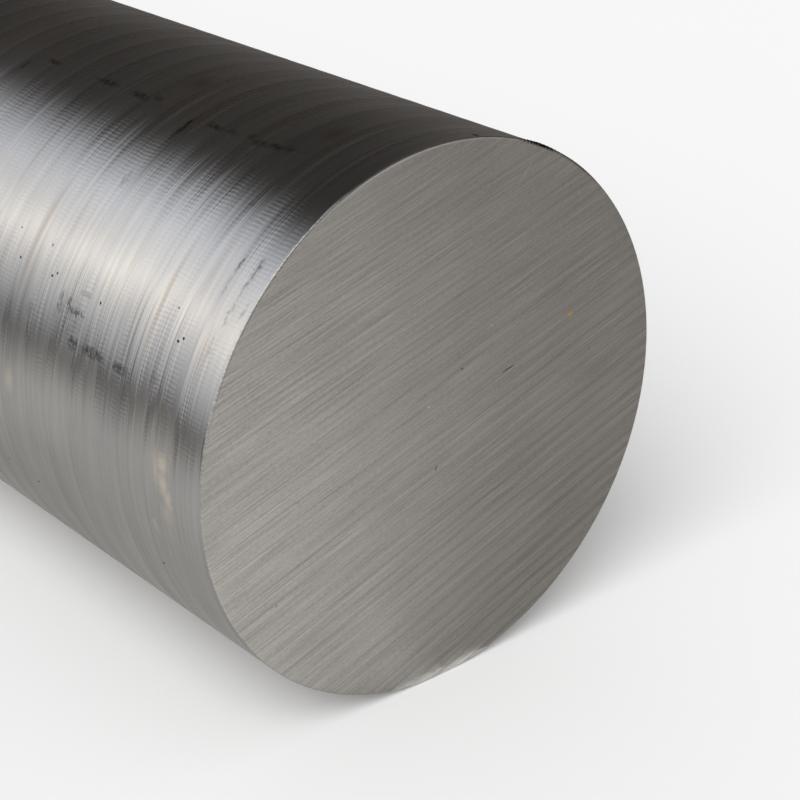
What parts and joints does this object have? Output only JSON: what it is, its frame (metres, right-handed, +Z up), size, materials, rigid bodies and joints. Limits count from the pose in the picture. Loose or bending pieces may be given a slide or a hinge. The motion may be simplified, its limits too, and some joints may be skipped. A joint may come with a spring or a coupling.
{
  "type": "round metal bar",
  "caption": "Solid round bar of stainless steel with a turned side and square band-sawn ends, lying on its side as stock.",
  "frame": {"origin": "on the floor, under the middle of the bar", "axes": "+X along the bar's axis, +Z up, +Y across the bar"},
  "size_m": [0.5, 0.0999, 0.1],
  "materials": {
    "turned_steel": "stainless steel, turned on the side and band-sawn on the ends, with light stains and pits"
  },
  "bodies": {
    "root": {"round_bar": "turned_steel"}
  },
  "joints": []
}
